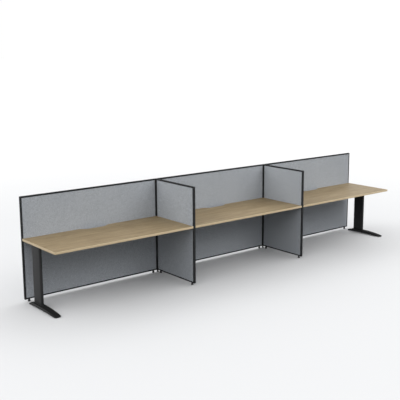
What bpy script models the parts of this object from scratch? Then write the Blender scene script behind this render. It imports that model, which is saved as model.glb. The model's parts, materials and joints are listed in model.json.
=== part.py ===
"""Study carrel: a row of three desk bays between framed fabric screens.

Three screens stand end to end along the back and two more divide the bays. Each bay has a worktop
on a steel beam. The beams hang on brackets on the dividers and, at both ends of the row, on a leg
with a long arched foot. Every screen and leg stands on glides that screw in and out for levelling.

The open fronts face -Y, +X runs along the row and +Z is up. The origin is on the floor, under the
middle of the row.
"""

import math

import bmesh
import bpy
from mathutils import Matrix, Vector

# Driving dimensions, in metres
BAY_WIDTH = 1.800
SCREEN_THICKNESS = 0.030
SCREEN_HEIGHT = 1.200
DIVIDER_LENGTH = 0.750
WORKTOP_DEPTH = 0.750
WORKTOP_THICKNESS = 0.025
WORKTOP_TOP = 0.730
CLEARANCE = 0.0003  # between pieces that touch

# Where the bays and the screens lie
ROW_LENGTH = 3 * BAY_WIDTH + 2 * SCREEN_THICKNESS
ROW_DEPTH = DIVIDER_LENGTH + SCREEN_THICKNESS
ROW_END = ROW_LENGTH / 2
SCREEN_FRONT = ROW_DEPTH / 2 - SCREEN_THICKNESS
SCREEN_MIDDLE = ROW_DEPTH / 2 - SCREEN_THICKNESS / 2
JUNCTION_X = BAY_WIDTH / 2 + SCREEN_THICKNESS / 2
WORKTOP_UNDERSIDE = WORKTOP_TOP - WORKTOP_THICKNESS

# Screen frame: channel sections that the edges of the board slide into
FRAME_FACE = 0.016
FRAME_WALL = 0.0025
FRAME_EDGE_RADIUS = 0.0015
SCREEN_UNDERSIDE = 0.031
BOARD_THICKNESS = SCREEN_THICKNESS - 2 * FRAME_WALL - 2 * CLEARANCE
BOARD_INSET = FRAME_WALL + CLEARANCE

# Screen glides: a cone-shaped foot on a threaded stem
GLIDE_FROM_END = 0.053
GLIDE_FOOT_RADIUS = 0.0150
GLIDE_SHOULDER_RADIUS = 0.0125
GLIDE_STEM_RADIUS = 0.005
GLIDE_RIM_HEIGHT = 0.004
GLIDE_FOOT_HEIGHT = 0.024
GLIDE_STEM_TOP = 0.085
GLIDE_HOLE_RADIUS = 0.0055
GLIDE_HOLE_TOP = 0.112

# Junction posts: square bars with a round bore that takes the foot's stem
JUNCTION_BORE_RADIUS = 0.0115
JUNCTION_BORE_TOP = SCREEN_HEIGHT - FRAME_FACE
JUNCTION_STEM_RADIUS = 0.011
JUNCTION_STEM_TOP = 0.110
JUNCTION_FOOT_RADIUS = 0.0145
JUNCTION_FOOT_HEIGHT = 0.008

# Cable scallop in the back edge of each worktop
SCALLOP_DEPTH = 0.053
SCALLOP_FLAT = 0.200
SCALLOP_RAMP = 0.110
RAMP_STEPS = 8

# End legs. A leg's own origin is on the floor under the middle of its column
COLUMN_FROM_END = 0.041
COLUMN_Y = 0.1045
COLUMN_WIDTH = 0.035
COLUMN_DEPTH = 0.174
COLUMN_CORNER_RADIUS = 0.012
COLUMN_WALL = 0.002
FOOT_HALF_WIDTH = 0.038
FOOT_FRONT = -0.431
FOOT_REAR = 0.1835
FOOT_UNDERSIDE = 0.004  # at the toe and the heel
FOOT_ARCH_RISE = 0.008  # of the underside, in the middle of the foot
FOOT_TIP_HEIGHT = 0.012
FOOT_HEEL_HEIGHT = 0.014
FOOT_HEIGHT = 0.044
FOOT_FULLNESS = 0.65  # exponent of the front's curve: lower is fuller near the tip
FOOT_SADDLE_HALF = 0.088  # half length of the level stretch that the column stands on
FOOT_TOE_LENGTH = 0.018  # over which the front narrows to its blunt tip
FOOT_HEEL_LENGTH = 0.014
FOOT_EDGE_RADIUS = 0.006
FOOT_WALL = 0.006

# Glides of the end legs
PAD_PLACES = {"front": -0.3405, "rear": 0.0645}
PAD_RADIUS = 0.024
PAD_HEIGHT = 0.005
PAD_STEM_RADIUS = 0.004
PAD_STEM_TOP = 0.0215
PAD_HOLE_RADIUS = 0.0045
PAD_HOLE_TOP = 0.0255

# Steel under the worktops
PLATE_THICKNESS = 0.003
BEAM_WIDTH = 0.025
BEAM_HEIGHT = 0.050
BEAM_WALL = 0.002
BRACKET_FLANGE = 0.040
BRACKET_FRONT = -0.140
BRACKET_BACK = 0.330
LEG_PLATE_WIDTH = 0.064
LEG_PLATE_LENGTH = 0.460
PLATE_UNDERSIDE = WORKTOP_UNDERSIDE - CLEARANCE - PLATE_THICKNESS
STEEL_CORNER_RADIUS = 0.006

ROUND_SEGMENTS = 16
SMOOTH_ANGLE = math.radians(40)

# Colour, roughness and metallic value of each finish
FINISHES = {
    "charcoal_frame": ((0.032, 0.033, 0.035, 1.0), 0.45, 0.3),
    "grey_fabric": ((0.330, 0.345, 0.365, 1.0), 0.90, 0.0),
    "oak_laminate": ((0.440, 0.350, 0.225, 1.0), 0.55, 0.0),
    "black_steel": ((0.020, 0.020, 0.021, 1.0), 0.40, 0.3),
    "black_plastic": ((0.015, 0.015, 0.016, 1.0), 0.60, 0.0),
}


def clear_scene():
    for item in list(bpy.data.objects):
        bpy.data.objects.remove(item, do_unlink=True)


def add_material(name, finish):
    colour, roughness, metallic = FINISHES[finish]
    material = bpy.data.materials.new(name)
    material.use_nodes = True
    material.diffuse_color = colour
    shader = material.node_tree.nodes["Principled BSDF"]
    shader.inputs["Base Color"].default_value = colour
    shader.inputs["Roughness"].default_value = roughness
    shader.inputs["Metallic"].default_value = metallic
    return material


def finish_mesh(name, bm, smooth=False):
    """Turn a bmesh into a mesh whose faces point out."""
    bmesh.ops.recalc_face_normals(bm, faces=bm.faces)
    mesh = bpy.data.meshes.new(name)
    bm.to_mesh(mesh)
    bm.free()
    if smooth:
        mesh.shade_smooth()
        mesh.set_sharp_from_angle(angle=SMOOTH_ANGLE)
    return mesh


def add_piece(name, mesh, finish, parent=None, location=(0.0, 0.0, 0.0)):
    """Place a piece, with a material of its own."""
    piece = bpy.data.objects.new(name, mesh)
    bpy.context.collection.objects.link(piece)
    if not mesh.materials:
        mesh.materials.append(None)
    piece.material_slots[0].link = "OBJECT"
    piece.material_slots[0].material = add_material(name, finish)
    piece.parent = parent
    piece.location = location
    return piece


def add_empty(name, location, turn=0.0):
    empty = bpy.data.objects.new(name, None)
    bpy.context.collection.objects.link(empty)
    empty.location = location
    empty.rotation_euler.z = turn
    return empty


def box_mesh(name, low, high):
    """A box between two corners."""
    bm = bmesh.new()
    bmesh.ops.create_cube(bm, size=1.0)
    size = [b - a for a, b in zip(low, high)]
    middle = [(a + b) / 2 for a, b in zip(low, high)]
    bmesh.ops.scale(bm, vec=size, verts=bm.verts)
    bmesh.ops.translate(bm, vec=middle, verts=bm.verts)
    return finish_mesh(name, bm)


def rings_bmesh(rings):
    """A closed solid through rings of points, bridged in turn and filled at both ends."""
    bm = bmesh.new()
    loops = [[bm.verts.new(point) for point in ring] for ring in rings]
    count = len(loops[0])
    for near, far in zip(loops, loops[1:]):
        for i in range(count):
            j = (i + 1) % count
            bm.faces.new((near[i], near[j], far[j], far[i]))
    bm.faces.new(loops[0])
    bm.faces.new(loops[-1])
    return bm


def extruded(name, outline, start, end, place, smooth=False):
    """Run an outline of (u, v) points from start to end; place gives the point for u, v and distance."""
    rings = [[place(u, v, distance) for u, v in outline] for distance in (start, end)]
    return finish_mesh(name, rings_bmesh(rings), smooth)


def turned(name, profile):
    """Spin a profile of (radius, height) points, which starts and ends on the axis, about Z."""
    bm = bmesh.new()
    points = [bm.verts.new((radius, 0.0, height)) for radius, height in profile]
    edges = [bm.edges.new(pair) for pair in zip(points, points[1:])]
    bmesh.ops.spin(
        bm, geom=points + edges, cent=(0, 0, 0), axis=(0, 0, 1),
        angle=2 * math.pi, steps=ROUND_SEGMENTS, use_merge=True,
    )
    bmesh.ops.remove_doubles(bm, verts=bm.verts, dist=0.00001)
    return finish_mesh(name, bm, smooth=True)


def round_corner(centre, radius, start, steps):
    """Points of a quarter circle, anticlockwise from the angle start."""
    angles = [start + math.pi / 2 * i / steps for i in range(steps + 1)]
    return [(centre[0] + radius * math.cos(a), centre[1] + radius * math.sin(a)) for a in angles]


def rounded_rectangle(width, height, radius, steps):
    """An anticlockwise outline centred on the origin."""
    outline = []
    for quarter, (side_u, side_v) in enumerate(((1, 1), (-1, 1), (-1, -1), (1, -1))):
        centre = (side_u * (width / 2 - radius), side_v * (height / 2 - radius))
        outline += round_corner(centre, radius, quarter * math.pi / 2, steps)
    return outline


def add_cutter(name, mesh, parent):
    cutter = bpy.data.objects.new(name, mesh)
    bpy.context.collection.objects.link(cutter)
    cutter.parent = parent
    cutter.hide_render = True
    cutter.display_type = "WIRE"
    return cutter


def cut(piece, cutter):
    """Take the cutter's shape out of the piece."""
    boolean = piece.modifiers.new(cutter.name, "BOOLEAN")
    boolean.operation = "DIFFERENCE"
    boolean.solver = "EXACT"
    boolean.object = cutter


def drill_mesh(name, centres, radius, bottom, top):
    """Upright round cutters, one at each (x, y) centre."""
    bm = bmesh.new()
    for x, y in centres:
        middle = Matrix.Translation((x, y, (bottom + top) / 2))
        bmesh.ops.create_cone(
            bm, cap_ends=True, segments=ROUND_SEGMENTS, radius1=radius, radius2=radius,
            depth=top - bottom, matrix=middle,
        )
    return finish_mesh(name, bm)


# ------------------------------------------------------------------------------- screens


def channel_outline():
    """Section of the frame: the web at v = 0 faces outwards, the groove opens towards +v."""
    half = SCREEN_THICKNESS / 2
    groove = half - FRAME_WALL
    radius = FRAME_EDGE_RADIUS
    left = round_corner((-half + radius, radius), radius, math.pi, 2)
    right = round_corner((half - radius, radius), radius, 3 * math.pi / 2, 2)
    inside = [
        (half, FRAME_FACE),
        (groove, FRAME_FACE),
        (groove, FRAME_WALL),
        (-groove, FRAME_WALL),
        (-groove, FRAME_FACE),
        (-half, FRAME_FACE),
    ]
    return left + right + inside


def make_screen(name, length, location, turn):
    """One framed screen. Its own x runs along it, from 0 to length, and y goes through it."""
    root = add_empty(name, location, turn)
    channel = channel_outline()
    under_cap = SCREEN_HEIGHT - FRAME_FACE - CLEARANCE

    def at_top(u, v, distance):
        return (distance, u, SCREEN_HEIGHT - v)

    def at_bottom(u, v, distance):
        return (distance, u, SCREEN_UNDERSIDE + v)

    def at_start(u, v, distance):
        return (v, u, distance)

    def at_end(u, v, distance):
        return (length - v, u, distance)

    between_posts = (FRAME_FACE + CLEARANCE, length - FRAME_FACE - CLEARANCE)
    members = {
        "top_rail": (at_top, 0.0, length),
        "bottom_rail": (at_bottom, *between_posts),
        "start_post": (at_start, SCREEN_UNDERSIDE, under_cap),
        "end_post": (at_end, SCREEN_UNDERSIDE, under_cap),
    }
    made = {}
    for member, (place, start, end) in members.items():
        mesh = extruded(f"{name}_{member}", channel, start, end, place, smooth=True)
        made[member] = add_piece(f"{name}_{member}", mesh, "charcoal_frame", root)

    board_low = (BOARD_INSET, -BOARD_THICKNESS / 2, SCREEN_UNDERSIDE + BOARD_INSET)
    board_high = (length - BOARD_INSET, BOARD_THICKNESS / 2, SCREEN_HEIGHT - BOARD_INSET)
    board_mesh = box_mesh(f"{name}_fabric_board", board_low, board_high)
    board = add_piece(f"{name}_fabric_board", board_mesh, "grey_fabric", root)

    # The glides' stems pass through the bottom rail into the board
    centres = [(GLIDE_FROM_END, 0.0), (length - GLIDE_FROM_END, 0.0)]
    hole_bottom = SCREEN_UNDERSIDE - FRAME_FACE
    holes = drill_mesh(f"{name}_holes", centres, GLIDE_HOLE_RADIUS, hole_bottom, GLIDE_HOLE_TOP)
    cutter = add_cutter(f"{name}_glide_holes", holes, root)
    cut(made["bottom_rail"], cutter)
    cut(board, cutter)

    for end, (x, y) in zip(("start", "end"), centres):
        glide = f"{name}_{end}_glide"
        add_piece(glide, GLIDE_MESH["screen"], "black_plastic", root, (x, y, 0.0))


def make_junction(side, x):
    """The post where a divider meets two back screens, and its foot."""
    root = add_empty(f"junction_{side}", (x, SCREEN_MIDDLE, 0.0))
    width = SCREEN_THICKNESS - 2 * CLEARANCE
    outline = rounded_rectangle(width, width, FRAME_EDGE_RADIUS, 1)
    mesh = extruded(
        f"junction_post_{side}", outline, SCREEN_UNDERSIDE, SCREEN_HEIGHT, lambda u, v, z: (u, v, z)
    )
    post = add_piece(f"junction_post_{side}", mesh, "charcoal_frame", root)
    bore = drill_mesh(
        f"junction_{side}_bore", [(0.0, 0.0)], JUNCTION_BORE_RADIUS, 0.0, JUNCTION_BORE_TOP
    )
    cut(post, add_cutter(f"junction_{side}_bore", bore, root))
    add_piece(f"junction_foot_{side}", GLIDE_MESH["junction"], "black_plastic", root)


# ----------------------------------------------------------------------------- worktops


def scallop_points():
    """The cable scallop as (x, how far in from the back edge), from right to left."""
    half_flat = SCALLOP_FLAT / 2
    ramp = []
    for i in range(RAMP_STEPS + 1):
        share = i / RAMP_STEPS
        fall = SCALLOP_DEPTH * (1 - math.cos(math.pi * share)) / 2
        ramp.append((half_flat + SCALLOP_RAMP * (1 - share), fall))
    return ramp + [(-x, fall) for x, fall in reversed(ramp)]


def make_worktop(bay, x):
    """A board that fills the bay, against the back screen."""
    half = BAY_WIDTH / 2 - CLEARANCE
    back = SCREEN_FRONT - CLEARANCE
    front = SCREEN_FRONT - WORKTOP_DEPTH
    outline = [(-half, front), (half, front), (half, back)]
    outline += [(along, back - fall) for along, fall in scallop_points()]
    outline.append((-half, back))
    mesh = extruded(
        f"worktop_{bay}", outline, WORKTOP_UNDERSIDE, WORKTOP_TOP, lambda u, v, z: (u, v, z)
    )
    add_piece(f"worktop_{bay}", mesh, "oak_laminate", location=(x, 0.0, 0.0))


def make_beam(bay, low_x, high_x):
    """A rectangular steel tube, open at both ends, along the underside of a worktop."""
    bm = bmesh.new()
    outline = rounded_rectangle(BEAM_WIDTH, BEAM_HEIGHT, FRAME_EDGE_RADIUS, 1)
    near = [bm.verts.new((low_x, u, v)) for u, v in outline]
    edges = [bm.edges.new((near[i - 1], near[i])) for i in range(len(near))]
    swept = bmesh.ops.extrude_edge_only(bm, edges=edges)["geom"]
    far = [item for item in swept if isinstance(item, bmesh.types.BMVert)]
    bmesh.ops.translate(bm, vec=(high_x - low_x, 0.0, 0.0), verts=far)
    top = PLATE_UNDERSIDE - CLEARANCE
    mesh = finish_mesh(f"worktop_beam_{bay}", bm)
    beam = add_piece(
        f"worktop_beam_{bay}", mesh, "black_steel", location=(0.0, COLUMN_Y, top - BEAM_HEIGHT / 2)
    )
    thicken(beam, BEAM_WALL)


def thicken(piece, wall):
    """Give an open shell a wall on its inner side."""
    solidify = piece.modifiers.new("wall", "SOLIDIFY")
    solidify.thickness = wall
    solidify.offset = -1.0
    solidify.use_even_offset = True


def make_divider_bracket(name, face_x, side):
    """A steel angle on a divider's board; side is -1 on the divider's left face, +1 on its right."""
    near = face_x + side * CLEARANCE
    web = near + side * PLATE_THICKNESS
    reach = near + side * BRACKET_FLANGE
    top = PLATE_UNDERSIDE + PLATE_THICKNESS
    bottom = top - BRACKET_FLANGE
    outline = [
        (near, bottom),
        (web, bottom),
        (web, PLATE_UNDERSIDE),
        (reach, PLATE_UNDERSIDE),
        (reach, top),
        (near, top),
    ]
    mesh = extruded(name, outline, BRACKET_FRONT, BRACKET_BACK, lambda u, v, y: (u, y, v))
    add_piece(name, mesh, "black_steel")
    return web + side * CLEARANCE


# ------------------------------------------------------------------------------ end legs


def foot_height(y):
    """Height of the foot's top, at y in the leg's own frame: a convex front and a hollow heel."""
    if y < -FOOT_SADDLE_HALF:
        share = (y - FOOT_FRONT) / (-FOOT_SADDLE_HALF - FOOT_FRONT)
        rise = math.sin(math.pi / 2 * share) ** FOOT_FULLNESS
        return FOOT_TIP_HEIGHT + (FOOT_HEIGHT - FOOT_TIP_HEIGHT) * rise
    if y > FOOT_SADDLE_HALF:
        share = (FOOT_REAR - y) / (FOOT_REAR - FOOT_SADDLE_HALF)
        rise = 1 - math.cos(math.pi / 2 * share)
        return FOOT_HEEL_HEIGHT + (FOOT_HEIGHT - FOOT_HEEL_HEIGHT) * rise
    return FOOT_HEIGHT


def foot_underside(y):
    """Height of the arched foot's lower edge."""
    share = (y - FOOT_FRONT) / (FOOT_REAR - FOOT_FRONT)
    return FOOT_UNDERSIDE + FOOT_ARCH_RISE * math.sin(math.pi * share)


def foot_half_width(y):
    """Half width of the foot in plan, with rounded corners at the toe and the heel."""
    length = 0.0
    past = 0.0
    if y < FOOT_FRONT + FOOT_TOE_LENGTH:
        length = FOOT_TOE_LENGTH
        past = (FOOT_FRONT + length - y) / length
    elif y > FOOT_REAR - FOOT_HEEL_LENGTH:
        length = FOOT_HEEL_LENGTH
        past = (y - FOOT_REAR + length) / length
    return FOOT_HALF_WIDTH - length * (1 - math.sqrt(max(1 - past * past, 0.0)))


def foot_section(y):
    """Points round the foot at y: a level underside, upright sides and rounded top edges."""
    half = foot_half_width(y)
    bottom = foot_underside(y)
    top = foot_height(y)
    radius = FOOT_EDGE_RADIUS
    right = round_corner((half - radius, top - radius), radius, 0.0, 3)
    left = round_corner((radius - half, top - radius), radius, math.pi / 2, 3)
    return [(-half, bottom), (half, bottom)] + right + left


def foot_stations():
    """Where the foot's sections are, from the toe to the heel."""
    quarter = [math.pi / 2 * i / 4 for i in range(5)]
    toe = [FOOT_FRONT + FOOT_TOE_LENGTH * (1 - math.cos(a)) for a in quarter]
    arch = between(FOOT_FRONT + FOOT_TOE_LENGTH, -FOOT_SADDLE_HALF, 10)
    saddle = between(-FOOT_SADDLE_HALF, FOOT_SADDLE_HALF, 4)
    heel_start = FOOT_REAR - FOOT_HEEL_LENGTH
    fall = between(FOOT_SADDLE_HALF, heel_start, 5)
    heel = [heel_start + FOOT_HEEL_LENGTH * math.sin(a) for a in quarter[1:]]
    return toe + arch + saddle + fall + heel


def between(start, end, count):
    """Even steps that leave out start and finish at end."""
    return [start + (end - start) * i / count for i in range(1, count + 1)]


def foot_pocket_mesh(name):
    """The hollow under the foot, between the solid ends that hold its glides."""
    front = PAD_PLACES["front"] + PAD_RADIUS
    rear = PAD_PLACES["rear"] - PAD_RADIUS
    half = FOOT_HALF_WIDTH - FOOT_WALL
    below = -FOOT_HEIGHT
    outline = [
        (front, below),
        (rear, below),
        (rear, FOOT_HEIGHT - FOOT_WALL),
        (-FOOT_SADDLE_HALF, FOOT_HEIGHT - FOOT_WALL),
        (front, foot_height(front) - FOOT_WALL),
    ]
    return extruded(name, outline, -half, half, lambda u, v, x: (x, u, v))


def make_end_leg(side, x, inward):
    """Column, arched foot, top plate and two glides; inward is +1 where the row lies towards +X."""
    root = add_empty(f"end_leg_{side}", (x, COLUMN_Y, 0.0))

    bm = rings_bmesh([[(u, y, v) for u, v in foot_section(y)] for y in foot_stations()])
    foot = add_piece(
        f"end_leg_foot_{side}", finish_mesh(f"end_leg_foot_{side}", bm, True), "black_steel", root
    )
    cut(foot, add_cutter(f"foot_pocket_{side}", foot_pocket_mesh(f"foot_pocket_{side}"), root))
    places = [(0.0, y) for y in PAD_PLACES.values()]
    holes = drill_mesh(f"foot_holes_{side}", places, PAD_HOLE_RADIUS, 0.0, PAD_HOLE_TOP)
    cut(foot, add_cutter(f"foot_holes_{side}", holes, root))
    for place, y in PAD_PLACES.items():
        name = f"end_leg_{side}_{place}_glide"
        add_piece(name, GLIDE_MESH["pad"], "black_plastic", root, (0.0, y, 0.0))

    bm = bmesh.new()
    outline = rounded_rectangle(COLUMN_WIDTH, COLUMN_DEPTH, COLUMN_CORNER_RADIUS, 5)
    lower = [bm.verts.new((u, v, FOOT_HEIGHT + CLEARANCE)) for u, v in outline]
    edges = [bm.edges.new((lower[i - 1], lower[i])) for i in range(len(lower))]
    swept = bmesh.ops.extrude_edge_only(bm, edges=edges)["geom"]
    upper = [item for item in swept if isinstance(item, bmesh.types.BMVert)]
    rise = PLATE_UNDERSIDE - FOOT_HEIGHT - 2 * CLEARANCE
    bmesh.ops.translate(bm, vec=(0.0, 0.0, rise), verts=upper)
    mesh = finish_mesh(f"end_leg_column_{side}", bm, smooth=True)
    column = add_piece(f"end_leg_column_{side}", mesh, "black_steel", root)
    thicken(column, COLUMN_WALL)

    # The plate covers the column's top and reaches inwards over the beam's end
    plate_middle = Vector((inward * (LEG_PLATE_WIDTH - COLUMN_WIDTH) / 2, 0.0))
    plate = rounded_rectangle(LEG_PLATE_WIDTH, LEG_PLATE_LENGTH, STEEL_CORNER_RADIUS, 2)
    outline = [tuple(plate_middle + Vector(point)) for point in plate]
    mesh = extruded(
        f"end_leg_plate_{side}",
        outline,
        PLATE_UNDERSIDE,
        PLATE_UNDERSIDE + PLATE_THICKNESS,
        lambda u, v, z: (u, v, z),
    )
    add_piece(f"end_leg_plate_{side}", mesh, "black_steel", root)
    return x + inward * (COLUMN_WIDTH / 2 + CLEARANCE)


# ----------------------------------------------------------------------------- assembly

clear_scene()

GLIDE_MESH = {
    "screen": turned(
        "screen_glide",
        [
            (0.0, 0.0),
            (GLIDE_FOOT_RADIUS, 0.0),
            (GLIDE_FOOT_RADIUS, GLIDE_RIM_HEIGHT),
            (GLIDE_SHOULDER_RADIUS, GLIDE_FOOT_HEIGHT),
            (GLIDE_STEM_RADIUS, GLIDE_FOOT_HEIGHT),
            (GLIDE_STEM_RADIUS, GLIDE_STEM_TOP),
            (0.0, GLIDE_STEM_TOP),
        ],
    ),
    "junction": turned(
        "junction_foot",
        [
            (0.0, 0.0),
            (JUNCTION_FOOT_RADIUS, 0.0),
            (JUNCTION_FOOT_RADIUS, JUNCTION_FOOT_HEIGHT / 2),
            (JUNCTION_STEM_RADIUS, JUNCTION_FOOT_HEIGHT),
            (JUNCTION_STEM_RADIUS, JUNCTION_STEM_TOP),
            (0.0, JUNCTION_STEM_TOP),
        ],
    ),
    "pad": turned(
        "foot_glide",
        [
            (0.0, 0.0),
            (PAD_RADIUS, 0.0),
            (PAD_RADIUS, PAD_HEIGHT),
            (PAD_STEM_RADIUS, PAD_HEIGHT),
            (PAD_STEM_RADIUS, PAD_STEM_TOP),
            (0.0, PAD_STEM_TOP),
        ],
    ),
}

BAY_CENTRES = {
    "left": -BAY_WIDTH - SCREEN_THICKNESS,
    "middle": 0.0,
    "right": BAY_WIDTH + SCREEN_THICKNESS,
}
for bay, centre in BAY_CENTRES.items():
    make_screen(
        f"back_screen_{bay}", BAY_WIDTH, (centre - BAY_WIDTH / 2, SCREEN_MIDDLE, 0.0), 0.0
    )
    make_worktop(bay, centre)

# A divider runs from the junction post towards the front, so its own x points along -Y
beam_ends = {}
for side, sign in (("left", -1), ("right", 1)):
    junction = sign * JUNCTION_X
    make_junction(side, junction)
    make_screen(f"divider_{side}", DIVIDER_LENGTH, (junction, SCREEN_FRONT, 0.0), -math.pi / 2)
    for face in (-1, 1):
        bay = side if face == sign else "middle"
        face_x = junction + face * BOARD_THICKNESS / 2
        name = f"worktop_bracket_{bay}" if bay != "middle" else f"worktop_bracket_middle_{side}"
        beam_ends[(bay, side)] = make_divider_bracket(name, face_x, face)
    leg_x = sign * (ROW_END - COLUMN_FROM_END)
    beam_ends[(side, "end")] = make_end_leg(side, leg_x, -sign)

make_beam("left", beam_ends[("left", "end")], beam_ends[("left", "left")])
make_beam("middle", beam_ends[("middle", "left")], beam_ends[("middle", "right")])
make_beam("right", beam_ends[("right", "right")], beam_ends[("right", "end")])
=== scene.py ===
"""Looks of the study carrel: cloth screens, laminate worktops, coated steel, plastic feet.

Every place is in metres in the row frame: +X runs along the row, the open fronts face -Y, +Z is up
and the origin is on the floor under the middle of the row.
"""

import json
import math

import bmesh
import bpy
from mathutils import Matrix, Vector, noise


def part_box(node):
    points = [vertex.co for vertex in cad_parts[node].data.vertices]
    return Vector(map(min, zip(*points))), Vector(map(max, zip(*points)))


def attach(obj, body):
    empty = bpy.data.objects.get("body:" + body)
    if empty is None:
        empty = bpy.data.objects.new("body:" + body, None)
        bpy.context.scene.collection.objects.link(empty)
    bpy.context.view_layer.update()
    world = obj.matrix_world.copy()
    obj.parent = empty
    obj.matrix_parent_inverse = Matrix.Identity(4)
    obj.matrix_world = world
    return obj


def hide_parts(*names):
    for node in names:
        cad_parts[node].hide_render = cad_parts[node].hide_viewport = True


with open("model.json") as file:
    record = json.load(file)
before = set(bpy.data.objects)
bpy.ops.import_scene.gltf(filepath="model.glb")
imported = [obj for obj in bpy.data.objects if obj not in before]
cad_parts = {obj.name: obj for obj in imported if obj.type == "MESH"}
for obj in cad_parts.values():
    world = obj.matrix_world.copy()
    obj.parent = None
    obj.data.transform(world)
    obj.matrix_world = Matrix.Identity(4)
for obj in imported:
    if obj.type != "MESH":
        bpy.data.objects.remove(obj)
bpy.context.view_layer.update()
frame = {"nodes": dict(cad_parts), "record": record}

BAYS = ["left", "middle", "right"]
SIDES = ["left", "right"]
BACK_SCREENS = [f"back_screen_{bay}" for bay in BAYS]
DIVIDERS = [f"divider_{side}" for side in SIDES]

ALONG_ROW = Vector((1, 0, 0))
ACROSS_ROW = Vector((0, 1, 0))
UP = Vector((0, 0, 1))
DOWN = -UP

# Screens
RAIL_LOW, RAIL_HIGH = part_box("back_screen_left_top_rail")
FRAME_FACE = RAIL_HIGH.z - RAIL_LOW.z
FRAME_WALL = 0.0025
FRAME_LIP = FRAME_FACE - FRAME_WALL  # the groove's depth, which its lips cover
SCREEN_HALF = 0.015

# Cloth on the screens' boards
CLOTH_THICKNESS = 0.0008
CLOTH_BACKING = 0.0001  # room between the cloth and the board's core
CLOTH_CROWN = 0.0012  # how far it stands off the board between the frame's lips
CLOTH_EASE = 0.009  # how soon it gets there
CLOTH_SLACK = 0.00028  # slow unevenness of the face
SLACK_PER_METRE = 4.0
CLOTH_RIPPLE = 0.00010  # quicker unevenness
RIPPLE_PER_METRE = 13.0
CORNER_PULL = 0.00035  # creases that fan out from each corner
CORNER_CREASES = 11
CORNER_REACH = 0.10
CLOTH_CORNER = 0.002  # radius over the board's edge
CLOTH_CORNER_TURNS = (0.52, 1.05, math.pi / 2)  # angles of the steps over it
CLOTH_END = 0.006  # where the turned-in margin stops, from the board's middle plane
CLOTH_CELL = 0.045
CLOTH_NEAR_LIP = (0.0, 0.0015, 0.004, 0.008, 0.014, 0.023, 0.036)  # closer cells, past the lip

# Worktops
BAND = 0.002
BAND_ARRIS = 0.0012
BAND_SEAM = 0.00015
PLAN_RADIUS = 0.003
ARC_STEPS = 4
SCALLOP_DEPTH = 0.053
SCALLOP_FLAT = 0.200
SCALLOP_RAMP = 0.110
SCALLOP_STEPS = 20

# CAD shapes made again with broken edges
EDGE_BREAK = 0.0004
SHARP_ANGLE = math.radians(50)
FLAT_ANGLE = math.radians(0.5)
SAME_POINT = 1e-6
SAME_PLANE = 1e-5
# painted shade: foot faces whose normal rises more than this take the darker top coat
FOOT_TOP_RISE = 0.5  # a face is on a foot's top if its normal rises by more than this

# Junction posts and plugs
JUNCTION_LOW, JUNCTION_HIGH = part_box("junction_post_right")
JUNCTION_X = (JUNCTION_LOW.x + JUNCTION_HIGH.x) / 2
CAP_HEIGHT = 0.0035
CAP_SEAM = 0.0003
CAP_EDGE = 0.0009
PLUG_RIM = 0.0020
PLUG_EDGE = 0.0005
PLUG_PLAY = 0.0002
PLUG_DEPTH = 0.0024
RAIL_PLUG_DEPTH = 0.0022

# Glides: the outline of each kind of foot as (radius, height), and its stem
CONE_FOOT = [
    (0.0134, 0.0), (0.0147, 0.0004), (0.0150, 0.0014), (0.0150, 0.0042), (0.0146, 0.0060),
    (0.0139, 0.0100), (0.0133, 0.0150), (0.0128, 0.0200), (0.0125, 0.0227), (0.0118, 0.0237),
    (0.0104, 0.0240),
]
DISC_FOOT = [
    (0.0128, 0.0), (0.0141, 0.0005), (0.0145, 0.0016), (0.0145, 0.0040), (0.0135, 0.0060),
    (0.0117, 0.0079),
]
PAD_FOOT = [
    (0.0222, 0.0), (0.0236, 0.0005), (0.0240, 0.0016), (0.0240, 0.0032), (0.0233, 0.0045),
    (0.0215, 0.0050), (0.0070, 0.0050), (0.0060, 0.0047),
]
FOOT_SIDES = 40
THREAD_SIDES = 16
THREAD_DEPTH = 0.0005
HEX_HEIGHT = 0.0035
HEX_CHAMFER = 0.0004

# Screws: the head's profile as shares of its radius, and places as shares of a side
SCREW_SIDES = 24
SCREW_RADIUS = 0.0055
SCREW_PROFILE = [(1.0, 0.0), (1.0, 0.14), (0.96, 0.26), (0.86, 0.38), (0.70, 0.46), (0.58, 0.48)]
SOCKET_FLATS = 0.42
SOCKET_HEIGHTS = (0.48, 0.16)
BRACKET_SCREWS_UP = (0.08, 0.36, 0.64, 0.92)
BRACKET_SCREWS_SIDEWAYS = (0.15, 0.5, 0.85)
BRACKET_SCREW_SHIFT = 0.004  # away from the bracket's web
PLATE_SCREWS = (0.06, 0.24, 0.76, 0.94)
PLATE_MARGIN = 0.011
PLATE_THICKNESS = 0.003

# Weld beads round the legs' columns; a section is (out from the column, up from the foot)
COLUMN_CORNER = 0.012
BEAD_SECTION = [
    (-0.0004, 0.0), (0.0030, 0.0), (0.0023, 0.0010), (0.0011, 0.0020), (-0.0004, 0.0026),
]
BEAD_STEP = 0.0008
BEAD_RIPPLE = 0.0031
BEAD_SWELL = 0.14
BEAD_WANDER = 0.10
BEAD_WANDER_PER_METRE = 60

# Camera: where it stands, where it looks, and how the picture is framed
CAMERA_PLACE = (-6.1948, -7.1393, 2.7661)
CAMERA_YAW = math.radians(40.25)  # from +Y towards +X
CAMERA_PITCH = math.radians(-10.84)
CAMERA_LENS = 67.26
CAMERA_SHIFT = (-0.0567, -0.0172)
CAMERA_CLIP_END = 1000.0

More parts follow.
